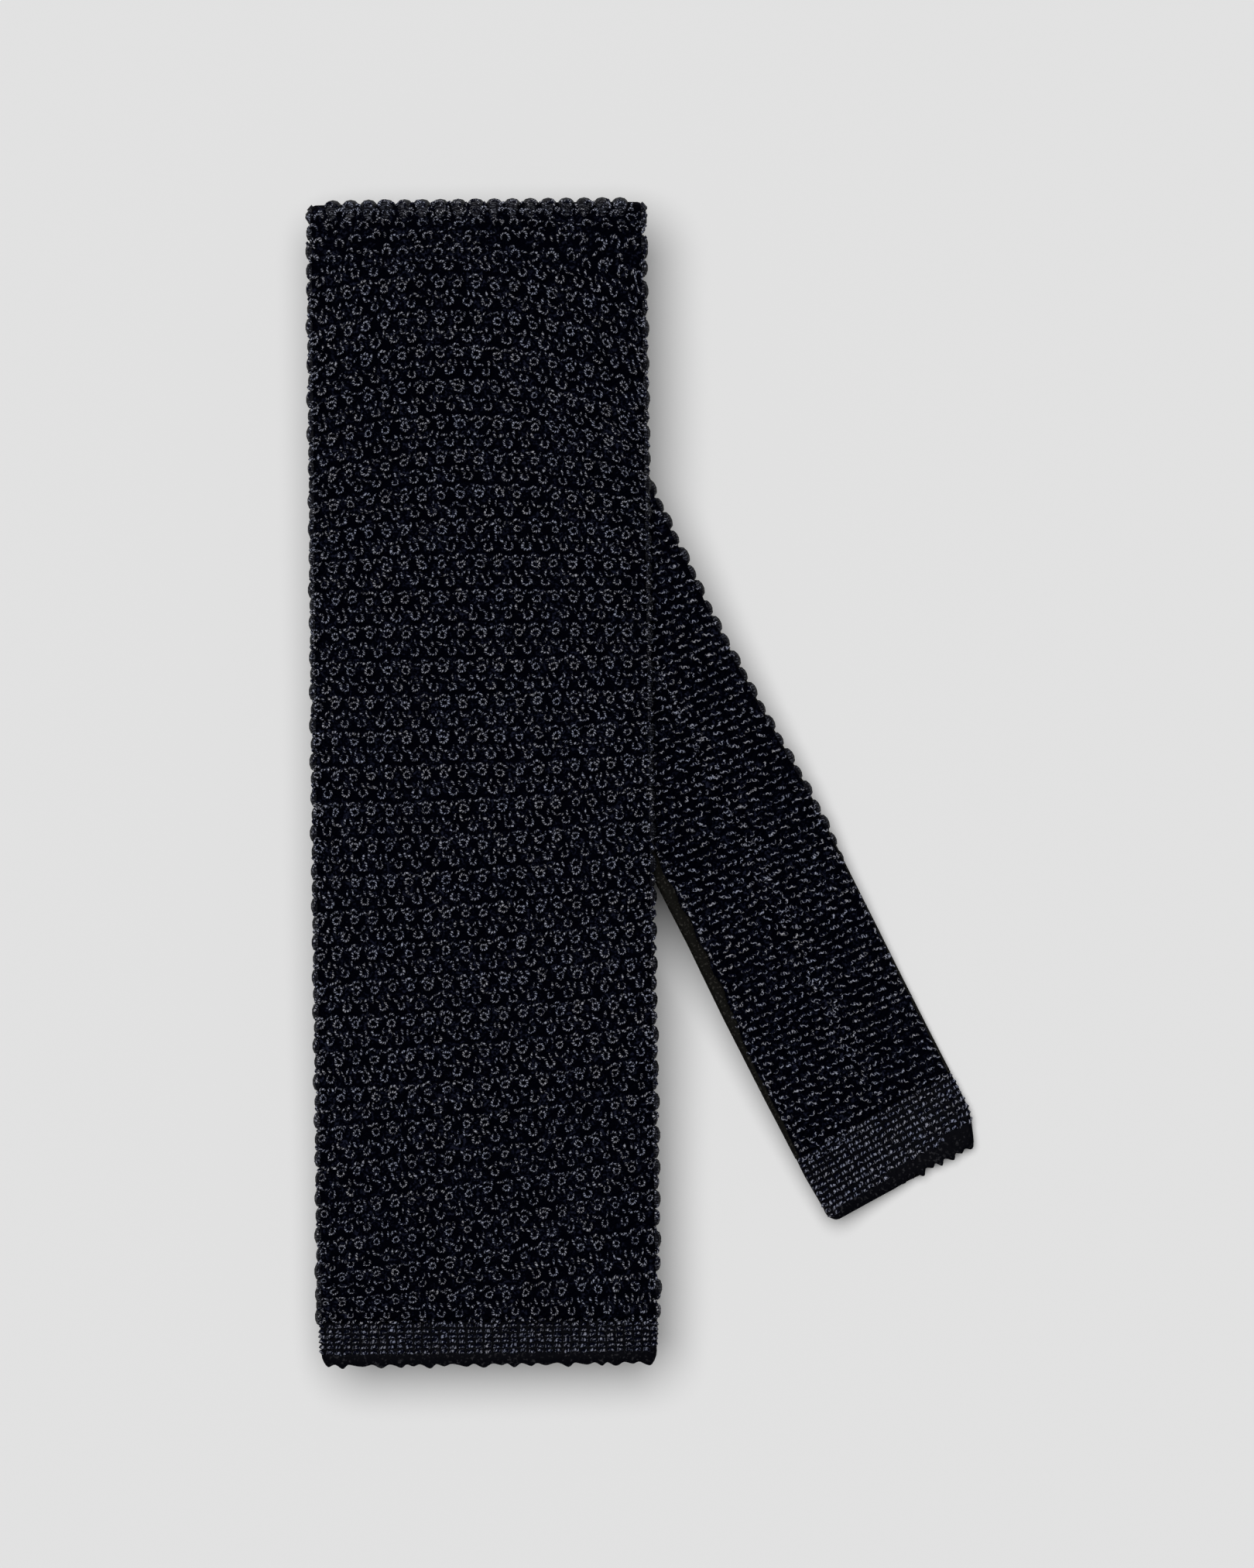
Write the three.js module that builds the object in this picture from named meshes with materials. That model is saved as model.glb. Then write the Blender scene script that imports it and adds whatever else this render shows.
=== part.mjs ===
// A knit tie: one flattened tube of silk knit, folded flat in eight layers with its wide
// blade on top and its narrow tail coming out from under the blade, down to the floor.
// Millimetres, +Z up. X runs across the blade and +Y along it, from the hem to the top fold.
import * as THREE from "three";

// Driving dimensions, in millimetres and degrees
const BLADE_WIDTH = 60.6; // the wide end, above its hem
const TOP_FOLD_WIDTH = 59.6; // where the blade turns under at the top
const UNDER_BLADE_WIDTH = 57; // the blade again, a length further on
const NECK_WIDTH = 33; // the narrow neck, and the tail's first stretch
const TAIL_END_WIDTH = 30.4; // the tail at its own hem
const WALL = 1; // one thickness of the knit
const TUBE_GAP = 0.3; // left between the two walls of the flattened tube
const LAYER_GAP = 0.3; // left between one layer of the folded tie and the next
const BLADE_LENGTH = 206; // the blade from its hem to the top fold
const TOP_INSET = 4; // how far the hidden top fold lies inside the outer one
const BOTTOM_INSET = 14; // how far the hidden bottom folds lie inside the hem
const NEST_STEP = 3; // how far a fold that is nested in another lies inside it
const CREASE_INSET = 29; // the tail's slanted crease below the top fold, on the middle line
const TAIL_ANGLE = 27.4; // the tail's heading, away from the blade's middle line
const TAIL_LENGTH = 164; // the tail from its crease to its end
const TAIL_TAPER_SHARE = 0.55; // how far along the tail its narrowing starts
const PILE_MARGIN = 1; // from the neck's edge to where the wider layers start to sag
const DRAPE_SLOPE = 18.5; // the steepest slope of the tail on its way down
const HEM_DROOP = 1.6; // how far the blade's end hangs down past the pile
const BLADE_HEM_DEPTH = 7.2; // the plain band that ends the blade
const TAIL_HEM_DEPTH = 12; // the same band on the tail
const HEM_INSET = 0.7; // how much narrower a hem is than the tube, on each side
const HEM_GAP = 0.3; // left between a hem and the tube
const LIP_LENGTH = 1.2; // the rounded stretch at a hem's free edge
const CORNER_INSET = 1.8; // how far that edge's two corners are rounded off
const MOUTH_GAPE = 0.9; // how far the tail's open end stands open

// Derived sizes
const THICKNESS = 2 * WALL + TUBE_GAP;
const PITCH = THICKNESS + LAYER_GAP;
const CREASE_TILT = THREE.MathUtils.degToRad(TAIL_ANGLE / 2);
const TUBE_START = BLADE_HEM_DEPTH + HEM_GAP;

// The straight lengths in their order from the wide end. level counts the layers from the
// floor, inset is the run's last fold from the end of the pile, and width is at its start.
const RUNS = [
  { level: 7, inset: 0, width: BLADE_WIDTH },
  { level: 4, inset: BOTTOM_INSET + NEST_STEP, width: TOP_FOLD_WIDTH },
  { level: 3, inset: TOP_INSET, width: UNDER_BLADE_WIDTH },
  { level: 0, inset: BOTTOM_INSET, width: NECK_WIDTH },
  { level: 1, inset: TOP_INSET + NEST_STEP, width: NECK_WIDTH },
  { level: 2, inset: BOTTOM_INSET, width: NECK_WIDTH },
  { level: 5, inset: CREASE_INSET, width: NECK_WIDTH },
  { level: 6, inset: 0, width: NECK_WIDTH },
];
const TAIL_RUN = RUNS.length - 1;

// How steep the drape is, as a share of DRAPE_SLOPE, at a share of its length.
const DRAPE_ROWS = [
  { at: 0, slope: 0 },
  { at: 0.24, slope: 1 },
  { at: 0.72, slope: 1 },
  { at: 1, slope: 0 },
];

// The shares of BLADE_LENGTH between which the blade climbs from the layer below the tail
// onto the tail.
const BLADE_CLIMB = { from: 0.14, to: 0.4 };

// The share of the blade's run past which it is level and straight.
const BLADE_LEVEL_SHARE = 0.5;

// A hem's free edge: from is a share of LIP_LENGTH, thickness of the tube's own, and
// corner of CORNER_INSET.
const LIP_ROWS = [
  { from: 0, thickness: 0.6, corner: 1 },
  { from: 0.3, thickness: 0.86, corner: 0.5 },
  { from: 1, thickness: 1, corner: 0 },
];

// Mesh density
const BLADE_STEPS = 9;
const STRAIGHT_STEPS = 3;
const FOLD_STEPS = 6;
const TAIL_STEPS = 22;
const ACROSS_STEPS = 8; // over the flat of the tube, on each side
const EDGE_STEPS = 3; // round each of its two long edges
const HEM_STEPS = 3;
const DRAPE_STEPS = 400;
const SQUARE_SHARE = 0.5; // of the tail, by which its sections are square to it
const SLOPE_STEP = 0.01; // the small length over which a slope is measured

const { lerp, clamp, smoothstep, degToRad } = THREE.MathUtils;

const levelHeight = (level) => level * PITCH + THICKNESS / 2;

// The drape: the layers lie level over the neck, then sag on both sides, and the tail goes
// on down to the floor. The slope follows DRAPE_ROWS, over the length that brings the tail
// exactly to the floor. The arc's own length is kept.
const SAG_START = NECK_WIDTH / 2 + PILE_MARGIN;
const TAIL_DROP = RUNS[TAIL_RUN].level * PITCH;

function slopeAt(share) {
  const next = Math.max(DRAPE_ROWS.findIndex(({ at }) => at >= share), 1);
  const [a, b] = [DRAPE_ROWS[next - 1], DRAPE_ROWS[next]];
  const rise = smoothstep(share, a.at, b.at);
  return degToRad(DRAPE_SLOPE) * lerp(a.slope, b.slope, rise);
}

function sumDrape() {
  const rows = [{ forward: 0, drop: 0 }];
  for (let i = 0; i < DRAPE_STEPS; i += 1) {
    const slope = slopeAt((i + 0.5) / DRAPE_STEPS);
    const last = rows[i];
    rows.push({
      forward: last.forward + Math.cos(slope) / DRAPE_STEPS,
      drop: last.drop + Math.sin(slope) / DRAPE_STEPS,
    });
  }
  return rows;
}

const DRAPE = sumDrape();
const DRAPE_LENGTH = TAIL_DROP / DRAPE[DRAPE_STEPS].drop;

// How far forward and down the drape is at a distance from the middle line, and its slope.
function drapeAt(distance) {
  const past = distance - SAG_START;
  if (past <= 0) return { forward: distance, drop: 0, slope: 0 };
  const share = Math.min(past / DRAPE_LENGTH, 1);
  const place = share * DRAPE_STEPS;
  const row = Math.min(Math.floor(place), DRAPE_STEPS - 1);
  const rest = place - row;
  const forward = lerp(DRAPE[row].forward, DRAPE[row + 1].forward, rest) * DRAPE_LENGTH;
  const drop = lerp(DRAPE[row].drop, DRAPE[row + 1].drop, rest) * DRAPE_LENGTH;
  const beyond = Math.max(past - DRAPE_LENGTH, 0);
  return { forward: SAG_START + forward + beyond, drop, slope: slopeAt(share) };
}

// A point of the folded tie, before the drape: its place and the unit normal of the layer.
function flatPoint(across, along, height, normalY, normalZ) {
  return {
    place: new THREE.Vector3(across, along, height),
    normal: new THREE.Vector3(0, normalY, normalZ),
  };
}

// A point of the tail, turned over its slanted crease: it stays where it is up to the
// crease, goes half round a small cylinder, and is mirrored past it.
const CREASE_Y = BLADE_LENGTH - CREASE_INSET;
const CREASE_RADIUS = PITCH / 2;
const CREASE_ARC = (Math.PI * CREASE_RADIUS) / Math.cos(CREASE_TILT);

function creasedPoint(across, along) {
  const start = levelHeight(RUNS[TAIL_RUN - 1].level);
  const c = new THREE.Vector2(Math.cos(CREASE_TILT), Math.sin(CREASE_TILT));
  const d = new THREE.Vector2(-c.y, c.x);
  const flat = new THREE.Vector2(across, along - CREASE_Y);
  const beside = flat.dot(c);
  const past = flat.dot(d);
  const angle = clamp(past / CREASE_RADIUS, 0, Math.PI);
  const leftOver = past - angle * CREASE_RADIUS;
  const reach = CREASE_RADIUS * Math.sin(angle) + leftOver * Math.cos(angle);
  const height = start + CREASE_RADIUS * (1 - Math.cos(angle));
  const place = new THREE.Vector3(
    c.x * beside + d.x * reach,
    CREASE_Y + c.y * beside + d.y * reach,
    height,
  );
  const normal = new THREE.Vector3(
    -d.x * Math.sin(angle),
    -d.y * Math.sin(angle),
    Math.cos(angle),
  );
  return { place, normal };
}

// Sets a point off from its layer along the normal, and lays it over the drape.
function draped({ place, normal }, offset) {
  const side = Math.sign(place.x) || 1;
  const { forward, drop, slope } = drapeAt(Math.abs(place.x));
  const sin = Math.sin(slope);
  const cos = Math.cos(slope);
  const outward = normal.x * side;
  return new THREE.Vector3(
    side * (forward + offset * (outward * cos + normal.z * sin)),
    place.y + offset * normal.y,
    place.z - drop + offset * (normal.z * cos - outward * sin),
  );
}

// Sections of the tube. Each is { at, width, thickness, gape }: at gives the point of the
// layer's middle surface at a distance across it.
const section = (at, width, thickness = THICKNESS, gape = 0) => ({
  at,
  width,
  thickness,
  gape,
});

function straightSection(run, share) {
  const height = levelHeight(run.level);
  const along = lerp(run.from, run.to, share);
  const width = lerp(run.width, run.endWidth, share);
  return section((across) => flatPoint(across, along, height, 0, run.heading), width);
}

// How far the blade lies below its own level: one layer lower where the tail has left from
// under it, and hanging down in a parabola past the pile.
function bladeSag(along) {
  const climb = smoothstep(along / BLADE_LENGTH, BLADE_CLIMB.from, BLADE_CLIMB.to);
  const past = Math.max(1 - along / BOTTOM_INSET, 0);
  return PITCH * (1 - climb) + HEM_DROOP * past * past;
}

function bladeSection(along, inset = 0, thickness = THICKNESS) {
  const run = LAID[0];
  const rise = bladeSag(along - SLOPE_STEP) - bladeSag(along + SLOPE_STEP);
  const tilt = Math.atan(rise / (2 * SLOPE_STEP));
  const height = levelHeight(run.level) - bladeSag(along);
  const width = lerp(run.width, run.endWidth, along / run.to) - 2 * inset;
  return section(
    (across) => flatPoint(across, along, height, -Math.sin(tilt), Math.cos(tilt)),
    width,
    thickness,
  );
}

// One section on a half-round fold from one level to the next.
function foldSection(run, next, turn) {
  const sign = Math.sign(run.level - next.level);
  const radius = (Math.abs(run.level - next.level) * PITCH) / 2;
  const middle = (levelHeight(run.level) + levelHeight(next.level)) / 2;
  const along = run.to + run.heading * radius * Math.sin(turn);
  const height = middle + sign * radius * Math.cos(turn);
  const normalY = sign * Math.sin(turn);
  const normalZ = run.heading * Math.cos(turn);
  return section(
    (across) => flatPoint(across, along, height, normalY, normalZ),
    next.width,
  );
}

// Adds to each run its heading and the two places between which it is straight.
function laidRuns() {
  const laid = [];
  RUNS.forEach((row, i) => {
    const heading = i % 2 === 0 ? 1 : -1;
    const from = i === 0 ? 0 : laid[i - 1].to;
    const next = RUNS[i + 1];
    const radius = next ? (Math.abs(row.level - next.level) * PITCH) / 2 : 0;
    const reach = radius + THICKNESS / 2;
    let to = heading > 0 ? BLADE_LENGTH - row.inset - reach : row.inset + reach;
    if (i === TAIL_RUN - 1) to = CREASE_Y;
    laid.push({ ...row, heading, from, to, endWidth: next ? next.width : TAIL_END_WIDTH });
  });
  return laid;
}

const LAID = laidRuns();

// The tail's half: its sections slant with the crease and square up towards its end.
const TAIL_START = CREASE_Y + CREASE_ARC;
const TAIL_END = TAIL_START + TAIL_LENGTH;

const tailWidth = (share) =>
  lerp(NECK_WIDTH, TAIL_END_WIDTH, smoothstep(share, TAIL_TAPER_SHARE, 1));

function tailSection(along, inset = 0, thickness = THICKNESS, gape = 0) {
  const share = clamp((along - TAIL_START) / TAIL_LENGTH, 0, 1);
  const skew = Math.tan(CREASE_TILT) * (1 - smoothstep(share, 0, SQUARE_SHARE));
  const width = tailWidth(share) - 2 * inset;
  return section(
    (across) => creasedPoint(across, along + skew * across),
    width,
    thickness,
    gape,
  );
}

// The knitted tube, from above the blade's hem to the tail's hem.
function tubeSections() {
  const sections = [];
  for (let step = 0; step < BLADE_STEPS; step += 1) {
    const share = step / BLADE_STEPS;
    sections.push(bladeSection(lerp(TUBE_START, LAID[0].to * BLADE_LEVEL_SHARE, share)));
  }
  LAID.slice(0, TAIL_RUN - 1).forEach((run, i) => {
    const first = i === 0 ? BLADE_LEVEL_SHARE : 0;
    for (let step = 0; step <= STRAIGHT_STEPS; step += 1) {
      const share = lerp(first, 1, step / STRAIGHT_STEPS);
      sections.push(straightSection(run, share));
    }
    for (let step = 1; step < FOLD_STEPS; step += 1) {
      sections.push(foldSection(run, LAID[i + 1], (Math.PI * step) / FOLD_STEPS));
    }
  });
  const up = LAID[TAIL_RUN - 1];
  for (let step = 0; step <= STRAIGHT_STEPS; step += 1) {
    const share = step / STRAIGHT_STEPS;
    const along = lerp(up.from, CREASE_Y, share);
    const skew = Math.tan(CREASE_TILT) * share;
    sections.push(section((across) => creasedPoint(across, along + skew * across), up.width));
  }
  for (let step = 1; step <= FOLD_STEPS; step += 1) {
    sections.push(tailSection(CREASE_Y + (CREASE_ARC * step) / FOLD_STEPS));
  }
  const last = TAIL_END - TAIL_HEM_DEPTH - HEM_GAP;
  for (let step = 1; step <= TAIL_STEPS; step += 1) {
    sections.push(tailSection(lerp(TAIL_START, last, step / TAIL_STEPS)));
  }
  return sections;
}

// The plain band at the wide end, from its rounded lip up to the tube.
function bladeHemSections() {
  const rows = LIP_ROWS.map(({ from, thickness, corner }) =>
    bladeSection(
      from * LIP_LENGTH,
      HEM_INSET + corner * CORNER_INSET,
      thickness * THICKNESS,
    ),
  );
  for (let step = 1; step <= HEM_STEPS; step += 1) {
    const along = lerp(LIP_LENGTH, BLADE_HEM_DEPTH, step / HEM_STEPS);
    rows.push(bladeSection(along, HEM_INSET));
  }
  return rows;
}

// The same band on the tail, standing open a little at its mouth.
function tailHemSections() {
  const start = TAIL_END - TAIL_HEM_DEPTH;
  const rows = [];
  for (let step = 0; step < HEM_STEPS; step += 1) {
    const share = step / HEM_STEPS;
    const along = lerp(start, TAIL_END - LIP_LENGTH, share);
    rows.push(tailSection(along, HEM_INSET, THICKNESS, MOUTH_GAPE * share));
  }
  LIP_ROWS.toReversed().forEach(({ from, thickness, corner }) => {
    const inset = HEM_INSET + corner * CORNER_INSET;
    const along = TAIL_END - from * LIP_LENGTH;
    rows.push(tailSection(along, inset, thickness * THICKNESS, MOUTH_GAPE));
  });
  return rows;
}

// The outline of a flattened tube as shares: its flats and its two half-round edges. half
// is half its thickness, and bead the radius of the outer edge, whose centre both share.
function outline({ width, thickness }, half) {
  const bead = thickness / 2;
  const reach = width / 2 - bead;
  const points = [];
  [1, -1].forEach((side) => {
    for (let i = 0; i < ACROSS_STEPS; i += 1) {
      const across = side * lerp(-reach, reach, i / ACROSS_STEPS);
      points.push({ across, turn: side });
    }
    for (let i = 0; i < EDGE_STEPS; i += 1) {
      const angle = (Math.PI * i) / EDGE_STEPS;
      points.push({
        across: side * (reach + half * Math.sin(angle)),
        turn: side * Math.cos(angle),
      });
    }
  });
  return points;
}

// The ring of points of one section, at the tube's outer or inner face.
function ring(one, half) {
  return outline(one, half).map(({ across, turn }) => {
    const point = one.at(across);
    const lift = (one.gape * (1 + turn * point.normal.z)) / 2;
    const placed = draped(point, turn * half);
    placed.z += lift;
    return placed;
  });
}

// Joins rings of equal count into a closed wall: the outer face, the inner face and the
// two open ends between them.
function tubeMesh(sections) {
  const outer = sections.map((one) => ring(one, one.thickness / 2));
  const inner = sections.map((one) => ring(one, TUBE_GAP / 2));
  const rings = [...outer, ...inner.toReversed()];
  const count = rings[0].length;
  const positions = rings.flat().flatMap((point) => point.toArray());
  const indices = [];
  rings.forEach((_, r) => {
    const s = (r + 1) % rings.length;
    for (let i = 0; i < count; i += 1) {
      const j = (i + 1) % count;
      const [a, b] = [r * count + i, r * count + j];
      const [c, d] = [s * count + i, s * count + j];
      indices.push(a, b, c, b, d, c);
    }
  });
  const geometry = new THREE.BufferGeometry();
  geometry.setAttribute("position", new THREE.Float32BufferAttribute(positions, 3));
  geometry.setIndex(indices);
  geometry.computeVertexNormals();
  return geometry;
}

const KNIT_SILK = new THREE.MeshStandardMaterial({ color: 0x14161f, roughness: 0.62 });
const HEM_SILK = new THREE.MeshStandardMaterial({ color: 0x11131a, roughness: 0.7 });

function piece(name, sections, material) {
  const mesh = new THREE.Mesh(tubeMesh(sections), material);
  mesh.name = name;
  return mesh;
}

const tie = new THREE.Group();
tie.add(
  piece("knit_tube", tubeSections(), KNIT_SILK),
  piece("blade_hem", bladeHemSections(), HEM_SILK),
  piece("tail_hem", tailHemSections(), HEM_SILK),
);

// The origin is in the middle of the tie's outline, on the floor.
const bounds = new THREE.Box3().setFromObject(tie);
const middle = bounds.getCenter(new THREE.Vector3());
tie.position.set(-middle.x, -middle.y, -bounds.min.z);

export default tie;
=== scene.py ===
import bpy
import numpy as np
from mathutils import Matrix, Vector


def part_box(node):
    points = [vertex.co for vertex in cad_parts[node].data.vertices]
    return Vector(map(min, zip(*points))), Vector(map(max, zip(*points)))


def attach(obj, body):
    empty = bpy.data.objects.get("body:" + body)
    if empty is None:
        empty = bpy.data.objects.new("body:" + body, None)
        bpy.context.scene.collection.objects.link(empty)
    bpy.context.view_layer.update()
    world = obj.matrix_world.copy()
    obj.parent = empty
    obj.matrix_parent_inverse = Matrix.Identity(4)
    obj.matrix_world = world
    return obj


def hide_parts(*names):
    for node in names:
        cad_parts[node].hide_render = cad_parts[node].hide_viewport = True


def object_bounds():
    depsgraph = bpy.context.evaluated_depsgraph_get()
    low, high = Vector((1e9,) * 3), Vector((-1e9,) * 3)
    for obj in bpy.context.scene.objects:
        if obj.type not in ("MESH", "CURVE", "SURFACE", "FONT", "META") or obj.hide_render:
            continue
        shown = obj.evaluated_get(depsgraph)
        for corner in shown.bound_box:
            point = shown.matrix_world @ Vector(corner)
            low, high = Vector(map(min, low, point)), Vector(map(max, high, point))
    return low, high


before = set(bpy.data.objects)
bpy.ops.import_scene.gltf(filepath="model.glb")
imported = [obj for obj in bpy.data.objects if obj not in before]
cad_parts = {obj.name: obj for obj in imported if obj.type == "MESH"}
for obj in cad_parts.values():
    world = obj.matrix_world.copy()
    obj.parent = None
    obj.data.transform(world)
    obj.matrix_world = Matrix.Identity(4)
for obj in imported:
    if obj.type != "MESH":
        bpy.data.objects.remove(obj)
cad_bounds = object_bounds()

# The knitted tube. One seamless tube of silk knit, pressed flat and folded in eight layers:
# the wide blade lies on top, and the narrow tail turns over a slanted crease right under it,
# comes out at the blade's right edge and runs down to the floor. Sizes are in millimetres.
MM = 0.001
BLADE_LENGTH = 206.0
WALL = 1.0
TUBE_GAP = 0.3
LAYER_GAP = 0.3
THICKNESS = 2 * WALL + TUBE_GAP
PITCH = THICKNESS + LAYER_GAP
BOTTOM_INSET, TOP_INSET, NEST_STEP, CREASE_INSET = 14.0, 4.0, 3.0, 29.0
NECK_WIDTH, TAIL_END_WIDTH = 33.0, 30.4
TAIL_LENGTH, TAIL_TAPER_SHARE = 164.0, 0.55
CREASE_TILT = np.radians(27.4 / 2)
BLADE_HEM_DEPTH, TAIL_HEM_DEPTH, HEM_GAP = 7.2, 12.0, 0.3
HEM_INSET, MOUTH_GAPE = -0.1, 0.9
HEM_DROOP, CLIMB_FROM, CLIMB_TO = 1.6, 0.14, 0.4
DRAPE_SLOPE = np.radians(18.5)
DRAPE_AT, DRAPE_SHARE = (0.0, 0.24, 0.72, 1.0), (0.0, 1.0, 1.0, 0.0)
STRETCH_AT = (0.0, 0.2, 0.38, 0.47, 0.57, 0.66, 0.75, 0.85, 1.0)
STRETCH_LEFT = (0.0, 0.0, 0.0, 0.0, 0.0, 0.1, 0.7, 1.05, 1.2)
STRETCH_RIGHT = (0.0, -0.3, -0.8, -0.3, 0.6, 0.9, 1.2, 1.3, 1.4)
LEVEL = np.array([7, 4, 3, 0, 1, 2, 5, 6])
INSET = np.array([0, BOTTOM_INSET + NEST_STEP, TOP_INSET, BOTTOM_INSET, TOP_INSET + NEST_STEP, BOTTOM_INSET])
RUN_WIDTH = np.array([60.6, 59.6, 57.0, NECK_WIDTH, NECK_WIDTH, NECK_WIDTH, NECK_WIDTH])


def smooth(x, low, high):
    """Eases from 0 at low to 1 at high: three times the share squared less twice its cube."""
    share = np.clip((x - low) / (high - low), 0, 1)
    return share * share * (3 - 2 * share)


def folded_path():
    """The middle line of the layers seen from the side: straight runs, one a layer, joined by
    half-round folds. Returns the length at each knot, the heading there as an angle, and the
    width; between knots both change evenly, so a fold is an arc of its radius."""
    lengths, turns, widths = [0.0], [0.0], [RUN_WIDTH[0]]
    place, heading, turn = 0.0, 1, 0.0
    for i in range(6):
        radius = abs(LEVEL[i] - LEVEL[i + 1]) * PITCH / 2
        reach = radius + THICKNESS / 2
        end = BLADE_LENGTH - INSET[i] - reach if heading > 0 else INSET[i] + reach
        lengths.append(lengths[-1] + abs(end - place))
        turns.append(turn)
        turn -= np.pi * heading * np.sign(LEVEL[i] - LEVEL[i + 1])
        lengths.append(lengths[-1] + np.pi * radius)
        turns.append(turn)
        widths += [RUN_WIDTH[i + 1]] * 2
        place, heading = end, -heading
    return np.array(lengths), np.array(turns), np.array(widths), place


KNOTS, TURNS, KNOT_WIDTHS, LAST_START = folded_path()
STEP = 0.05
DENSE = np.arange(0, KNOTS[-1] + STEP, STEP)
MID_TURN = np.interp(DENSE + STEP / 2, KNOTS, TURNS)
DENSE_Y = np.concatenate([[0], np.cumsum(np.cos(MID_TURN))[:-1] * STEP])
DENSE_Z = np.concatenate([[0], np.cumsum(np.sin(MID_TURN))[:-1] * STEP]) + LEVEL[0] * PITCH + THICKNESS / 2
CREASE_Y = BLADE_LENGTH - CREASE_INSET
CREASE_RADIUS = PITCH / 2
CREASE_ARC = np.pi * CREASE_RADIUS / np.cos(CREASE_TILT)
TAIL_START = KNOTS[-1] + CREASE_Y - LAST_START + CREASE_ARC
TAIL_END = TAIL_START + TAIL_LENGTH
SAG_START = NECK_WIDTH / 2 + 1.0

# The drape over the pile's edge, summed up once over its length and scaled to reach the floor.
share = (np.arange(400) + 0.5) / 400
part = np.minimum(np.searchsorted(DRAPE_AT, share) - 1, 2)
low_at, high_at = np.take(DRAPE_AT, part), np.take(DRAPE_AT, part + 1)
rise = smooth((share - low_at) / (high_at - low_at), 0, 1)
slope = DRAPE_SLOPE * (np.take(DRAPE_SHARE, part) * (1 - rise) + np.take(DRAPE_SHARE, part + 1) * rise)
DRAPE_LENGTH = 6 * PITCH / np.mean(np.sin(slope))
DRAPE_GRID = np.arange(401) / 400 * DRAPE_LENGTH
DRAPE_FORWARD = np.concatenate([[0], np.cumsum(np.cos(slope))]) * DRAPE_LENGTH / 400
DRAPE_DROP = np.concatenate([[0], np.cumsum(np.sin(slope))]) * DRAPE_LENGTH / 400
DRAPE_ANGLE = np.interp(DRAPE_GRID / DRAPE_LENGTH, share, slope, left=0, right=0)

# The tie's own zero, at the blade's hem on its middle line, in the frame of the whole part.
hem_low, hem_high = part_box("blade_hem")
ORIGIN = np.array([(hem_low[0] + hem_high[0]) / 2, cad_bounds[1][1] - BLADE_LENGTH * MM, 0.0])


def tail_edges(along):
    """How far the knit has stretched sideways at the tail's left and right edge."""
    share = (along - TAIL_START) / TAIL_LENGTH
    return np.interp(share, STRETCH_AT, STRETCH_LEFT), np.interp(share, STRETCH_AT, STRETCH_RIGHT)


def width_at(along):
    """Width of the flattened tube: even between the knots, then eased down along the tail,
    with what the knit has stretched sideways."""
    taper = smooth((along - TAIL_START) / TAIL_LENGTH, TAIL_TAPER_SHARE, 1)
    straight = np.interp(along, KNOTS, KNOT_WIDTHS)
    return straight + (TAIL_END_WIDTH - NECK_WIDTH) * taper + sum(tail_edges(along))


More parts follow.
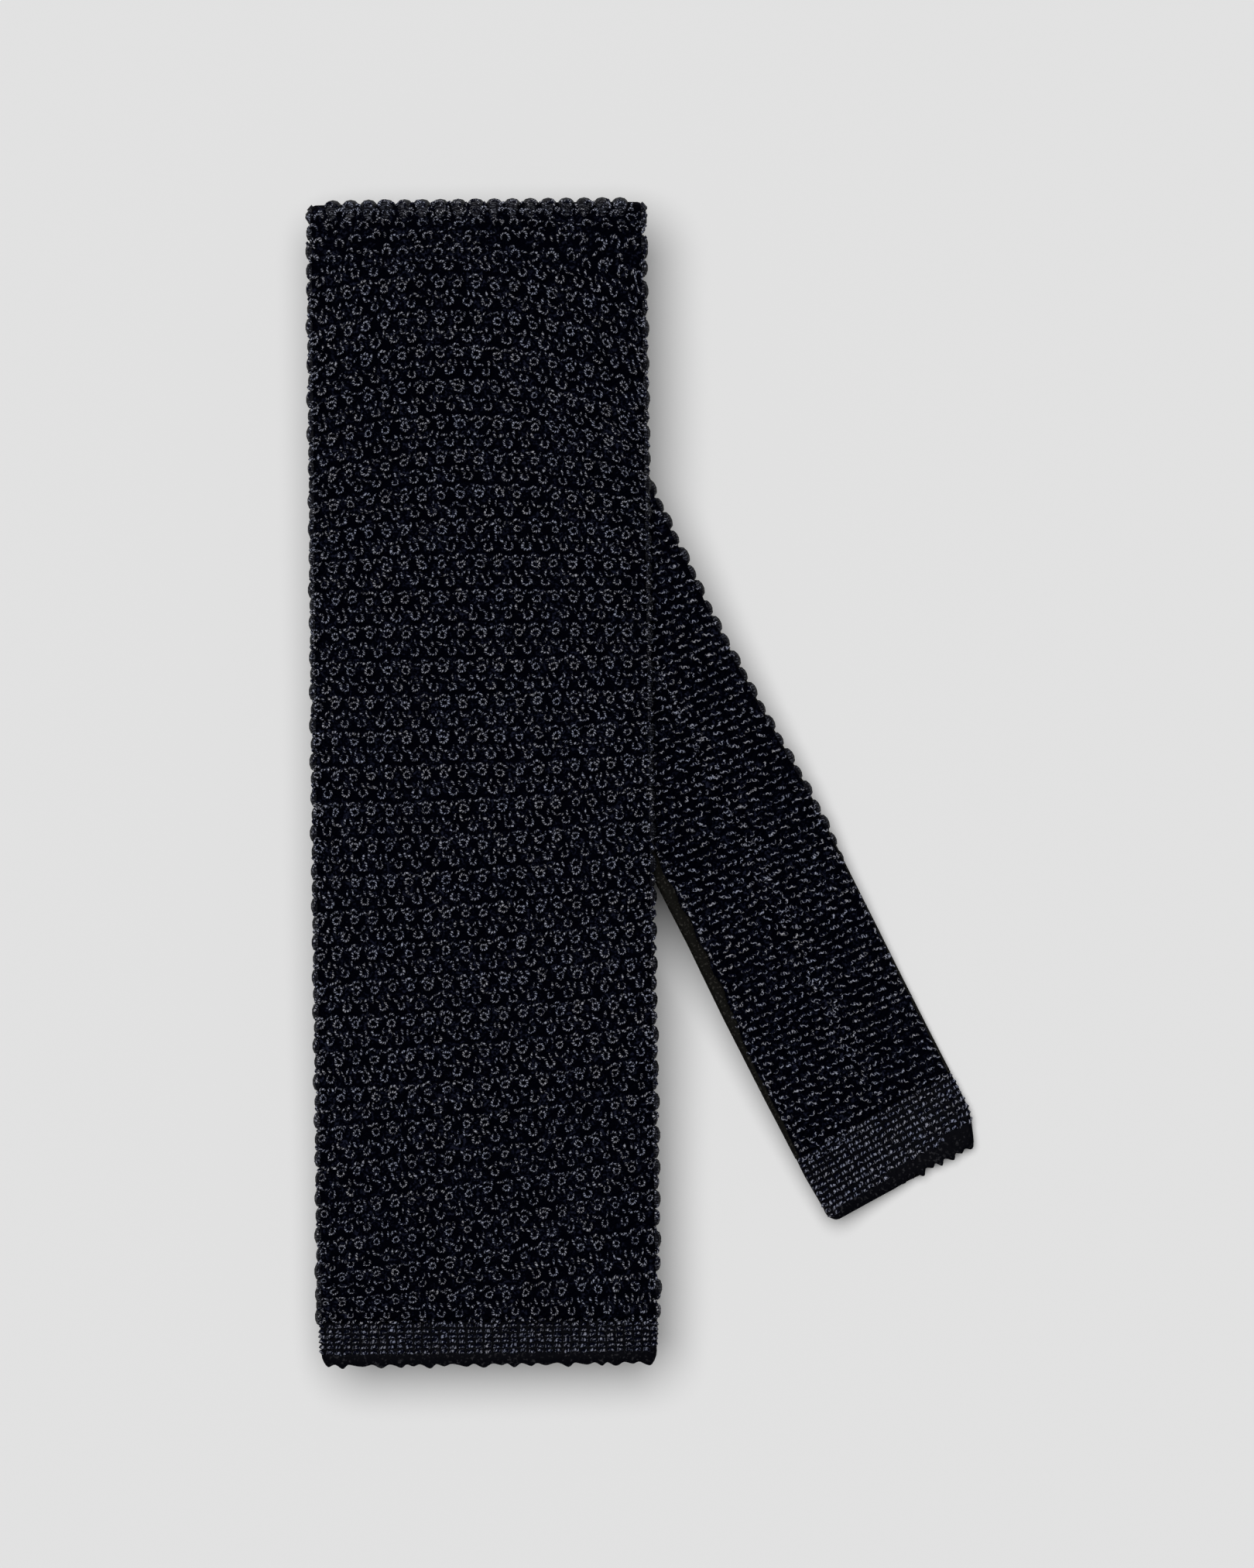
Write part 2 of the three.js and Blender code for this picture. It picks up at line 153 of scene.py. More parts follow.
def lay(along, across, offset):
    """Places points of the tie: along is the length from the blade's hem, across the distance
    from the middle line and offset the distance off the layer's middle surface. The path gives
    y, z and the layer's normal; past the last knot the layer is turned over the slanted crease,
    by half a cylinder and then a mirror; last, everything past the neck's edge is laid over the
    drape, with its own length kept. Returns metres in the frame of the whole part."""
    along, across, offset = np.broadcast_arrays(along, across, offset)
    left_edge, right_edge = tail_edges(along)
    across = across + (right_edge - left_edge) / 2
    turn = np.interp(along, KNOTS, TURNS)
    x = across.astype(float)
    y = np.interp(along, DENSE, DENSE_Y) + np.minimum(along, 0)
    z = np.interp(along, DENSE, DENSE_Z)
    # The blade lies a layer lower where the tail has left it, and hangs down past the pile.
    blade = along < KNOTS[1] / 2
    past = np.maximum(1 - along / BOTTOM_INSET, 0)
    climb = smooth(along / BLADE_LENGTH, CLIMB_FROM, CLIMB_TO)
    sag = PITCH * (1 - climb) + HEM_DROOP * past ** 2
    z = np.where(blade, z - sag, z)
    x_share = np.clip((along / BLADE_LENGTH - CLIMB_FROM) / (CLIMB_TO - CLIMB_FROM), 0, 1)
    fall = PITCH * 6 * x_share * (1 - x_share) / (CLIMB_TO - CLIMB_FROM) / BLADE_LENGTH
    fall = fall + 2 * HEM_DROOP * past / BOTTOM_INSET
    turn = np.where(blade, np.arctan(fall), turn)
    normal = [np.zeros_like(x), -np.sin(turn), np.cos(turn)]
    # The crease: beside runs along it and beyond across it.
    crossed = along > KNOTS[-1]
    flat_y = LAST_START + along - KNOTS[-1] - CREASE_Y
    cos, sin = np.cos(CREASE_TILT), np.sin(CREASE_TILT)
    beside = across * cos + flat_y * sin
    beyond = -across * sin + flat_y * cos
    angle = np.clip(beyond / CREASE_RADIUS, 0, np.pi)
    left = beyond - angle * CREASE_RADIUS
    reach = CREASE_RADIUS * np.sin(angle) + left * np.cos(angle)
    level = LEVEL[6] * PITCH + THICKNESS / 2
    x = np.where(crossed, cos * beside - sin * reach, x)
    y = np.where(crossed, CREASE_Y + sin * beside + cos * reach, y)
    z = np.where(crossed, level + CREASE_RADIUS * (1 - np.cos(angle)), z)
    normal[0] = np.where(crossed, sin * np.sin(angle), normal[0])
    normal[1] = np.where(crossed, -cos * np.sin(angle), normal[1])
    normal[2] = np.where(crossed, np.cos(angle), normal[2])
    # The drape, alike on both sides.
    side = np.where(x < 0, -1.0, 1.0)
    over = np.abs(x) - SAG_START
    on = np.maximum(over, 0)
    forward = np.interp(on, DRAPE_GRID, DRAPE_FORWARD) + np.maximum(on - DRAPE_LENGTH, 0)
    drop = np.interp(on, DRAPE_GRID, DRAPE_DROP)
    tilt = np.interp(on, DRAPE_GRID, DRAPE_ANGLE, right=0)
    x = np.where(over > 0, SAG_START + forward, np.abs(x))
    outward = normal[0] * side
    x = side * (x + offset * (outward * np.cos(tilt) + normal[2] * np.sin(tilt)))
    y = y + offset * normal[1]
    z = z - drop + offset * (normal[2] * np.cos(tilt) - outward * np.sin(tilt))
    return np.stack([x, y, z], -1) * MM + ORIGIN


def round_tube(along, round_by, lift, face=1, inset=0.0):
    """Places points on the flattened tube: round_by is the way round it from the middle of the
    face that face names, 1 for the layer's own upper side and -1 for its under side, and lift
    the height over its surface. Past the flat, the way goes round the half-round edge by an
    angle that is the way over the edge's radius, and then back along the other face."""
    edge = THICKNESS / 2
    reach = width_at(along) / 2 - inset - edge
    way = np.abs(round_by)
    angle = np.clip((way - reach) / edge, 0, np.pi)
    under = np.maximum(way - reach - np.pi * edge, 0)
    across = np.sign(round_by) * (np.minimum(way, reach) - under + (edge + lift) * np.sin(angle))
    return lay(along, across, face * (edge + lift) * np.cos(angle))


# The pitch of the courses, along the tie, and of the wales, across it. The courses aren't level:
# at each of these lengths from the hem they arch, and climb to the right, by what the table says.
COURSE, WALE = 3.077, 3.18
TAIL_COURSE, TAIL_WALE = 3.39, 2.66
COURSE_LENGTH = (8.0, 14.0, 22.0, 33.0, 56.0, 80.0, 105.0, 137.0, 148.0, 160.0, 172.0, 184.0, 196.0, 206.0)
COURSE_ARCH = (0, 0, 0, 0, -0.002, -0.0015, -0.0015, 0.001, 0.0045, 0.009, 0.0128, 0.0128, 0.011, 0.006)
COURSE_CLIMB = (0.0, 0.07, 0.16, 0.13, 0.07, 0.07, 0.03, 0.0, 0.0, 0.0, -0.06, -0.06, -0.07, -0.03)


def course_shift(along, round_by):
    """How far a course lies along the blade from its level: a slope times the way round, less
    half an arch times its square, both read from the table of the courses."""
    way = np.clip(round_by, -31, 31)
    arch = np.interp(along, COURSE_LENGTH, COURSE_ARCH)
    climb = np.interp(along, COURSE_LENGTH, COURSE_CLIMB)
    return climb * way - 0.5 * arch * way ** 2


def outward(points, quads):
    """Turns the faces of closed shapes outwards: their signed volume, summed over the faces from
    the first point, is negative when they face inwards, and then each face is turned over."""
    a, b, c, d = (points[quads[:, k]] - points[quads[0, 0]] for k in range(4))
    volume = np.einsum("ij,ij->", a, np.cross(b, c)) + np.einsum("ij,ij->", a, np.cross(c, d))
    return volume > 0


def quad_mesh(name, points, quads, corners=None):
    """Puts arrays of points and four-cornered faces into a new smooth-shaded object."""
    mesh = bpy.data.meshes.new(name)
    mesh.vertices.add(len(points))
    mesh.vertices.foreach_set("co", points.astype(np.float32).ravel())
    mesh.loops.add(quads.size)
    mesh.loops.foreach_set("vertex_index", quads.astype(np.int32).ravel())
    mesh.polygons.add(len(quads))
    mesh.polygons.foreach_set("loop_start", np.arange(0, quads.size, 4, dtype=np.int32))
    mesh.polygons.foreach_set("use_smooth", np.ones(len(quads), dtype=bool))
    if corners is not None:
        layer = mesh.uv_layers.new(name="knit")
        layer.data.foreach_set("uv", corners.astype(np.float32).ravel())
    mesh.update(calc_edges=True)
    piece = bpy.data.objects.new(name, mesh)
    bpy.context.scene.collection.objects.link(piece)
    return piece


def ring_mesh(name, points, uv):
    """Makes a closed mesh from a grid of points that is joined up in both directions. uv has
    one more row and column than the grid, because the map doesn't wrap."""
    rows, columns = points.shape[:2]
    i = np.arange(rows)[:, None]
    j = np.arange(columns)[None]
    k, m = (i + 1) % rows, (j + 1) % columns
    ids = np.broadcast_arrays(i * columns + j, k * columns + j, k * columns + m, i * columns + m)
    quads = np.stack(ids, -1).reshape(-1, 4)
    corners = np.stack([uv[i, j], uv[i + 1, j], uv[i + 1, j + 1], uv[i, j + 1]], 2).reshape(-1, 4, 2)
    points = points.reshape(-1, 3)
    if not outward(points, quads):
        quads, corners = quads[:, ::-1], corners[:, ::-1]
    return quad_mesh(name, points, quads, corners)


class Nodes:
    """Short calls for a material's nodes: maths on sockets, read in the order it is worked out."""

    def __init__(self, name):
        self.material = bpy.data.materials.new(name)
        self.material.use_nodes = True
        self.tree = self.material.node_tree
        self.shader = self.tree.nodes["Principled BSDF"]

    def add(self, kind, **values):
        """A new node with some of its settings."""
        node = self.tree.nodes.new(kind)
        for key, value in values.items():
            setattr(node, key, value)
        return node

    def put(self, socket, value):
        """Links another node's output to a socket, or sets the socket's own value."""
        if isinstance(value, bpy.types.NodeSocket):
            self.tree.links.new(value, socket)
        else:
            socket.default_value = value

    def maths(self, operation, *values, clamp=False):
        """One step of arithmetic on sockets or numbers."""
        node = self.add("ShaderNodeMath", operation=operation, use_clamp=clamp)
        for socket, value in zip(node.inputs, values):
            self.put(socket, value)
        return node.outputs[0]

    def uv(self):
        """The two values of the piece's own map."""
        node = self.add("ShaderNodeUVMap", uv_map="knit")
        parts = self.add("ShaderNodeSeparateXYZ")
        self.put(parts.inputs[0], node.outputs[0])
        return parts.outputs[0], parts.outputs[1]

    def noise(self, scale, detail=2.0):
        """Noise from 0 to 1 in the piece's own coordinates, scale to the metre."""
        place = self.add("ShaderNodeTexCoord")
        node = self.add("ShaderNodeTexNoise")
        self.put(node.inputs["Vector"], place.outputs["Object"])
        self.put(node.inputs["Scale"], scale)
        self.put(node.inputs["Detail"], detail)
        return node.outputs["Fac"]

    def blend(self, share, low, high):
        """The colour that is the share of the way from low to high."""
        node = self.add("ShaderNodeMix", data_type="RGBA")
        self.put(node.inputs[0], share)
        self.put(node.inputs[6], low)
        self.put(node.inputs[7], high)
        return node.outputs[2]

    def bump(self, height, distance, strength=1.0):
        """Relief on the shader from a height of 0 to 1, distance metres tall."""
        node = self.add("ShaderNodeBump")
        self.put(node.inputs["Height"], height)
        self.put(node.inputs["Distance"], distance)
        self.put(node.inputs["Strength"], strength)
        self.put(self.shader.inputs["Normal"], node.outputs[0])


# The ground of the knit, under its raised stitches: a close fabric of twisted silk. Its colour is
# painted near black, darker than the yarn's own navy, as painted shade in the openings between stitches.
# u and v of its map are millimetres across the layer and along it.
SUNK = 0.42
SKIN_STEP, FOLD_STEP = 1.6, 0.6


def skin_lengths(start, end):
    """Lengths for the rows of the ground: even on the straight runs, closer over each fold."""
    even = np.arange(start, end, SKIN_STEP)
    folds = [np.arange(KNOTS[k] - 0.6, KNOTS[k + 1] + 0.6, FOLD_STEP) for k in range(1, len(KNOTS) - 1, 2)]
    crease = np.arange(TAIL_START - 10, TAIL_START + 8, FOLD_STEP)
    lengths = np.unique(np.concatenate([even, *folds, crease, [end]]))
    keep = np.concatenate([[True], np.diff(lengths) > 0.3])
    keep[-1] = True
    return lengths[keep]


def skin_grid(lengths, lift, flat_steps=18, edge_steps=5):
    """A grid round the tube at each length: points over one flat, round an edge by the sine and
    cosine of its angle, back over the other flat and round the other edge."""
    radius = THICKNESS / 2 + lift
    reach = width_at(lengths)[:, None] / 2 - THICKNESS / 2
    flat = np.linspace(-1, 1, flat_steps, endpoint=False)[None]
    bend = np.linspace(0, np.pi, edge_steps, endpoint=False)[None]
    across = [flat * reach, reach + radius * np.sin(bend), -flat * reach, -reach - radius * np.sin(bend)]
    offset = [radius + 0 * flat, radius * np.cos(bend), -radius + 0 * flat, -radius * np.cos(bend)]
    across = np.concatenate(across, 1)
    offset = np.concatenate(offset, 1) + 0 * across
    return lay(lengths[:, None], across, offset), across


skin_rows = skin_lengths(BLADE_HEM_DEPTH + HEM_GAP, TAIL_END - TAIL_HEM_DEPTH - HEM_GAP)
outer, skin_across = skin_grid(skin_rows, -SUNK)
inner, inner_across = skin_grid(skin_rows, -THICKNESS / 2 + 0.12)
u = np.concatenate([skin_across, inner_across[::-1], skin_across[:1]])
u = np.concatenate([u, u[:, :1]], 1)
v = np.concatenate([skin_rows, skin_rows[::-1], skin_rows[:1]])[:, None] + 0 * u
knit_skin = ring_mesh("knit_skin", np.concatenate([outer, inner[::-1]]), np.stack([u, v], -1))

ground = Nodes("silk_ground")
u_mm, v_mm = ground.uv()
wave_u = ground.maths("SINE", ground.maths("MULTIPLY", u_mm, 2 * np.pi * 2 / WALE))
wave_v = ground.maths("SINE", ground.maths("MULTIPLY", v_mm, 2 * np.pi * 3 / COURSE))
weave = ground.maths("MULTIPLY", wave_u, wave_v)
relief = ground.maths("ADD", weave, ground.noise(900.0, 3.0))
flecks = ground.maths("MULTIPLY_ADD", ground.noise(2000.0, 2.0), 6.0, -3.0, clamp=True)
patches = ground.maths("MULTIPLY_ADD", ground.noise(480.0, 1.0), 6.0, -2.7, clamp=True)
flecks = ground.maths("MULTIPLY", flecks, patches)
# Painted shade: a near-black base, darker than the yarn, for the shade between the stitches, with lighter
# navy flecks in noise patches over it.
ground_colour_with_painted_shade = ground.blend(flecks, (0.0001, 0.0002, 0.0018, 1), (0.0095, 0.0108, 0.0215, 1))
ground.put(ground.shader.inputs["Base Color"], ground_colour_with_painted_shade)
ground.put(ground.shader.inputs["Roughness"], 0.75)
ground.put(ground.shader.inputs["Specular IOR Level"], 0.012)
ground.bump(relief, 0.00012)
knit_skin.data.materials.append(ground.material)
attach(knit_skin, "root")
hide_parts("knit_tube")

# The selvedge and the folds. The tube's edges are rows of loop backs, one a course, that make
# them scalloped, and over each fold the wales stand up as ribs. They are the same silk yarn.
PLY_PITCH = 0.44
PLY_SLANT = 0.7
rng = np.random.default_rng(7)


def yarn_template(line, radius, sides=4, closed=False, flatten=1.0):
    """A tube round a line of points: at each point a ring square to the line, its first corner
    upwards and its height scaled by flatten, with a flat cap on each open end. Returns its
    points, its four-cornered faces, and the map of length along it and turn round it."""
    line = np.asarray(line, float)
    ahead = np.roll(line, -1, 0) - np.roll(line, 1, 0) if closed else np.gradient(line, axis=0)
    ahead /= np.linalg.norm(ahead, axis=1)[:, None]
    side = np.cross(ahead, [0, 0, 1.0])
    side /= np.linalg.norm(side, axis=1)[:, None] + 1e-9
    top = np.cross(side, ahead)
    angle = np.arange(sides) / sides * 2 * np.pi
    spread = np.cos(angle)[None, :, None] * top[:, None] + np.sin(angle)[None, :, None] * side[:, None]
    radius = np.broadcast_to(radius, len(line))[:, None, None]
    points = line[:, None] + radius * spread * np.array([1, 1, flatten])
    step = np.linalg.norm(np.diff(line, axis=0, append=line[:1]), axis=1)
    length = np.concatenate([[0], np.cumsum(step)])
    n = len(line)
    i = np.arange(n if closed else n - 1)[:, None]
    j = np.arange(sides)[None]
    k, m = (i + 1) % n, (j + 1) % sides
    faces = [i * sides + j, k * sides + j, k * sides + m, i * sides + m]
    quads = np.stack(np.broadcast_arrays(*faces), -1).reshape(-1, 4)
    u0, u1 = length[i] + 0 * j, length[i + 1] + 0 * j
    v0, v1 = j / sides + 0 * i, (j + 1) / sides + 0 * i
    corners = [np.stack(pair, -1) for pair in ((u0, v0), (u1, v0), (u1, v1), (u0, v1))]
    map_ = np.stack(corners, 2).reshape(-1, 4, 2)
    if not closed:
        fan = np.arange(0, sides - 2, 2)[:, None]
        cap = np.concatenate([0 * fan, fan + 1, fan + 2, fan + 3], 1)
        quads = np.concatenate([quads, cap, cap[:, ::-1] + (n - 1) * sides])
        cap_map = np.stack([0 * cap, cap / sides], -1)
        map_ = np.concatenate([map_, cap_map, cap_map])
    points = points.reshape(-1, 3)
    if not outward(points, quads):
        quads, map_ = quads[:, ::-1], map_[:, ::-1]
    return points, quads, map_


def stitches(template, cells, place, mirrored=False):
    """Repeats one template at many places: each cell is its way round, its length along, a
    turn, a size and a lift; the points are turned and scaled, moved to the cell and placed on
    the tube by place. mirrored says that place turns left into right. Returns all the copies."""
    points, quads, map_ = template
    way, along, turn, size, lift = (cells[:, i, None] for i in range(5))
    x = (points[None, :, 0] * np.cos(turn) - points[None, :, 1] * np.sin(turn)) * size + way
    y = (points[None, :, 0] * np.sin(turn) + points[None, :, 1] * np.cos(turn)) * size + along
    placed = place(y, x, points[None, :, 2] * size + lift).reshape(-1, 3)
    faces = (quads[None] + (np.arange(len(cells)) * len(points))[:, None, None]).reshape(-1, 4)
    start = rng.uniform(0, 1, (len(cells), 1, 1, 2)) * np.array([PLY_PITCH, 0.0])
    maps = (map_[None] + start).reshape(-1, 4, 2)
    if mirrored:
        faces, maps = faces[:, ::-1], maps[:, ::-1]
    return placed, faces, maps


def join(name, groups):
    """Joins several sets of points, faces and maps into one object."""
    starts = np.cumsum([0] + [len(points) for points, _, _ in groups[:-1]])
    points = np.concatenate([group[0] for group in groups])
    quads = np.concatenate([group[1] + start for group, start in zip(groups, starts)])
    return quad_mesh(name, points, quads, np.concatenate([group[2] for group in groups]))


def cell_table(way, along, turn=0.0, size=1.0, lift=0.0):
    """A table of cells from arrays or single values: way, length, turn, size and lift."""
    columns = np.broadcast_arrays(way, along, turn, size, lift)
    return np.stack(columns, -1).reshape(-1, 5).astype(float)


def yarn_material(name, body, light, sheen, cover, zigzag=0.0):
    """Twisted silk with painted highlights: short slanting strokes of the light colour are painted into
    the base colour where its plies cross the yarn's upper side, as the shine of the light on them, and
    each stroke is as bright as chance has it. The strokes are worked out from the length along the yarn
    and the turn round it. With a zigzag, a share of a turn, they lean one way and the other by that
    much and are joined up."""
    yarn = Nodes(name)
    length, turn = yarn.uv()
    chance = yarn.noise(1100.0, 1.0)
    shifted = yarn.maths("MULTIPLY_ADD", chance, 1.3, yarn.maths("SUBTRACT", turn, 0.65))
    upper = yarn.maths("WRAP", shifted, 0.5, -0.5)
    slant = yarn.maths("MULTIPLY_ADD", upper, PLY_SLANT, length)
    ridge = yarn.maths("PINGPONG", slant, PLY_PITCH / 2)
    stroke = yarn.maths("MULTIPLY_ADD", ridge, 9.0 / PLY_PITCH, -1.75, clamp=True)
    if zigzag:
        path = yarn.maths("MULTIPLY_ADD", yarn.maths("PINGPONG", length, 0.37), zigzag / 0.185, -zigzag)
        apart = yarn.maths("ABSOLUTE", yarn.maths("SUBTRACT", upper, path))
        stroke = yarn.maths("MULTIPLY_ADD", apart, -8.0, 1.35, clamp=True)
    # Painted highlight: the strokes are kept to a band round the yarn's upper side, where the light shines
    # on it.
    top_highlight_mask = yarn.maths("MULTIPLY_ADD", yarn.maths("ABSOLUTE", upper), -11.0, 2.8, clamp=True)
    patchy = yarn.maths("MULTIPLY_ADD", yarn.noise(2100.0, 1.0), 4.6, cover - 2.6, clamp=True)
    share = yarn.maths("MULTIPLY", yarn.maths("MULTIPLY", stroke, top_highlight_mask), patchy)
    tint = yarn.maths("MULTIPLY_ADD", yarn.noise(300.0, 1.0), 3.0, -1.0, clamp=True)
    cool_highlight = tuple([light[0] * 0.85, light[1] * 0.92, light[2] * 1.09, 1])
    # The base colour carries the painted highlights: the light colour, tinted at random, in the strokes and
    # the body colour elsewhere.
    yarn.put(yarn.shader.inputs["Base Color"], yarn.blend(share, body, yarn.blend(tint, cool_highlight, light)))
    yarn.put(yarn.shader.inputs["Roughness"], 0.5)
    yarn.put(yarn.shader.inputs["Specular IOR Level"], sheen)
    yarn.bump(stroke, 0.00005)
    return yarn.material


# Edge loops and fold ribs: the same painted highlights, dim.
silk_edge = yarn_material("silk_edge", (0.0026, 0.0027, 0.0048, 1), (0.060, 0.061, 0.069, 1), 0.04, 0.90)

bump_way = np.linspace(-1, 1, 6)
EDGE_BUMP = yarn_template(
    np.stack([0 * bump_way, 1.70 * bump_way, -0.58 - 0.35 * bump_way ** 2], 1),
    1.25 * np.sqrt(1 - 0.95 * bump_way ** 2), 6, flatten=0.86)
BLADE_PATTERN_END = 214
blade_marks = np.arange(BLADE_HEM_DEPTH + 1.6, BLADE_PATTERN_END, COURSE)
other_marks = np.arange(BLADE_PATTERN_END + COURSE, TAIL_END - TAIL_HEM_DEPTH - 1.6, TAIL_COURSE)
marks = np.concatenate([blade_marks, other_marks])
half_round = width_at(marks) / 2 - THICKNESS / 2 + THICKNESS / 4 * np.pi
odd = np.arange(len(marks)) % 2
TAIL_SMOOTH_FROM = TAIL_START + 110.0
groups = []
for side in (-1, 1):
    shifted = marks + np.where(marks < BLADE_PATTERN_END, course_shift(marks, side * 30.0), 0)
    shifted = shifted + rng.normal(0, 0.14, len(marks))
    small = np.abs(odd - (side > 0)) + rng.normal(0, 0.22, len(marks))
    fade = smooth(marks, TAIL_SMOOTH_FROM - 6, TAIL_SMOOTH_FROM)
    edge_size = 1 - 0.10 * small - 0.1 * fade
    edge_lift = 0.22 - 0.22 * small - 0.8 * fade
    edge_cells = cell_table(side * half_round, shifted, 0.0, edge_size, edge_lift)
    scalloped = marks < (TAIL_SMOOTH_FROM if side > 0 else TAIL_START)
    groups.append(stitches(EDGE_BUMP, edge_cells[scalloped], round_tube))
edge_loops = join("edge_loops", groups)

groups = []
for k in range(1, len(KNOTS) - 1, 2):
    middle, arc = (KNOTS[k] + KNOTS[k + 1]) / 2, KNOTS[k + 1] - KNOTS[k]
    rib_way = np.linspace(-1, 1, 10)
    rib = yarn_template(
        np.stack([0 * rib_way, (arc / 2 - 0.8) * rib_way, -0.62 - 0.4 * rib_way ** 2], 1),
        1.45 * np.sqrt(1 - 0.9 * rib_way ** 2), 10, flatten=0.72)
    face = -np.sign(TURNS[k + 1] - TURNS[k])
    half = width_at(middle) / 2 - 1.3
    pitch = WALE if k < 5 else TAIL_WALE
    ways = np.arange(-np.floor(half / pitch), np.floor(half / pitch) + 1) * pitch
    rib_cells = cell_table(ways, middle)
    groups.append(stitches(rib, rib_cells, lambda a, w, h: round_tube(a, w, h, face), mirrored=face < 0))
fold_ribs = join("fold_ribs", groups)
for piece in (edge_loops, fold_ribs):
    piece.data.materials.append(silk_edge)
    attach(piece, "root")

# The blade's stitches. A tuck-stitch knit: each tucked loop stands up as a small ring of
# two-ply silk, closed in one course and open at the top in the next, and between the rows of
# rings the yarn of the finer course shows as an arch over each ring and specks between them.
YARN = 0.27
RING = 0.65
HOOD_FROM = 194.5
ROWS_AT = (0.0, 193.0, 196.0, 199.1, 202.1, 205.2, 208.3, 211.4)
ROWS_LIE = (0.0, 193.0, 195.9, 198.5, 201.0, 202.5, 204.1, 206.3)
BLADE_ROWS_END = 212.0


def loop_line(turns, count, radius, tall, heights, closed=False, corners=0, bulge=0.0):
    """Points on part of an ellipse, turn 0 at the right and 90 at the top, in degrees, with
    heights read along the way. The radius swells by the share bulge towards its corners."""
    angle = np.radians(np.linspace(turns[0], turns[1], count, endpoint=not closed))
    way = np.linspace(0, 1, count, endpoint=not closed)
    height = np.interp(way, np.linspace(0, 1, len(heights)), heights)
    radius = radius * (1 + bulge * np.cos(corners * (angle - 0.7)))
    return np.stack([radius * np.cos(angle), radius * tall * np.sin(angle), height], 1)


LOW_HIGH = (0.05, 0.24, 0.28, 0.24, 0.05)
CLOSED_RING = yarn_template(loop_line((90, 450), 12, RING, 0.90, LOW_HIGH, True, 4, 0.09), YARN, closed=True)
UNEVEN_RING = yarn_template(loop_line((90, 450), 12, RING, 0.84, LOW_HIGH, True, 3, 0.13), YARN, closed=True)
OPEN_RING = yarn_template(
    loop_line((125, 415), 11, RING, 0.96, (-0.35, 0.20, 0.25, 0.25, 0.20, -0.35), False, 4, 0.09), YARN)
HOOD = yarn_template(loop_line((215, -35), 10, 0.72, 1.10, (-0.2, 0.18, 0.26, 0.28, 0.26, 0.18, -0.2)), 0.28)
arch_way = np.linspace(-1, 1, 6)
short_way = np.linspace(-1, 1, 5)
CAP = yarn_template(
    np.stack([0.50 * arch_way, 0.16 - 0.42 * arch_way ** 2, 0.18 - 0.50 * arch_way ** 4], 1), 0.26)
SPECK = yarn_template(
    np.stack([0.42 * short_way, 0.10 * short_way, 0.15 - 0.5 * short_way ** 2], 1), 0.25)
STROKE = yarn_template(
    np.stack([0.58 * short_way, 0.10 * short_way ** 2, 0.20 - 0.5 * short_way ** 4], 1), 0.28)


def drift(along, round_by, seed, size):
    """A slow uneven shift of the stitches: a sum of three sine waves in both directions."""
    draw = np.random.default_rng(seed)
    total = np.zeros(np.broadcast(along, round_by).shape)
    for wave in (0.21, 0.43, 0.9):
        a, b, c = draw.uniform(-1, 1, 3)
        total = total + np.sin(wave * (2 * along * a + 2 * round_by * b) + 9 * c) / 3
    return size * total


def on_blade(along, way, lift):
    """On the blade, with its courses arched and climbing, and a little unevenness. They are
    closer together up over the fold, and the wales at the edges, by a sine of the way."""
    level = 1 - 0.8 * smooth(along, 192, 205)
    row = np.interp(along, ROWS_AT, ROWS_LIE) + level * course_shift(along, way)
    way = way + 0.5 * np.sin(np.pi * way / 30.3)
    return round_tube(row + drift(along, way, 3, 0.22), way + drift(along, way, 4, 0.25), lift)


def jittered(way, along, spread, turn, lift=0.0, size=1.0):
    """Cells shifted, turned, scaled and lifted a little at random from their regular places."""
    n = len(way)
    way = way + rng.normal(0, spread, n)
    along = along + rng.normal(0, spread, n)
    turns = turn[0] + rng.normal(0, turn[1], n)
    sizes = size * rng.normal(1, 0.07, n)
    return cell_table(way, along, turns, sizes, lift + rng.normal(0, 0.03, n))


def lattice(along_from, along_to, pitch, course, half):
    """The regular places of a knit: rows a course apart, every second one moved half a stitch
    over. Returns way, length and row of each place no further out than half."""
    rows = np.arange(int(np.ceil(along_from / course)), int(np.ceil(along_to / course)))
    columns = np.arange(-int(half / pitch) - 2, int(half / pitch) + 3)
    row, column = np.meshgrid(rows, columns, indexing="ij")
    way = (column + 0.5 * (row % 2)) * pitch
    keep = np.abs(way) < half
    return way[keep], (row * course)[keep], row[keep]
